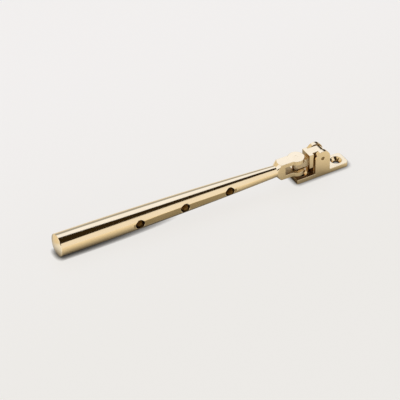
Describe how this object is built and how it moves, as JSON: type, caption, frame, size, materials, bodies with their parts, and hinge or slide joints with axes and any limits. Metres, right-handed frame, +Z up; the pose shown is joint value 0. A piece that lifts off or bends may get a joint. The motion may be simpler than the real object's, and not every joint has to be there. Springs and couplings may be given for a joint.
{
  "type": "casement stay",
  "caption": "Tapered round brass bar with peg holes and a domed tail, forked onto a swivel block that turns between the lugs of a screw-on plate; holds a casement window open.",
  "frame": {"origin": "underside of the mounting plate, straight below the lug pin", "axes": "+X along the plate towards its free end, away from the bar; the peg holes open towards -Y; +Z up out of the mounting surface"},
  "size_m": [0.1998, 0.0222, 0.0183],
  "materials": {
    "cast_brass": "polished",
    "turned_brass": "polished",
    "pin_brass": "polished"
  },
  "bodies": {
    "bracket": {"base_plate": "cast_brass", "lug_pin": "pin_brass"},
    "swivel": {"swivel_block": "cast_brass"},
    "bar": {"stay_bar": "turned_brass", "fork_pin": "pin_brass"}
  },
  "joints": [
    {"name": "lift", "type": "hinge", "parent": "bracket", "child": "swivel", "pos_m": [0, 0, 0.013], "axis": [0, 1, 0], "range_deg": [-1, 180]},
    {"name": "swing", "type": "hinge", "parent": "swivel", "child": "bar", "pos_m": [-0.01586, 0, 0.01113], "axis": [-0.0235, 0, 0.9997], "range_deg": [-86.8, 93.2]}
  ]
}
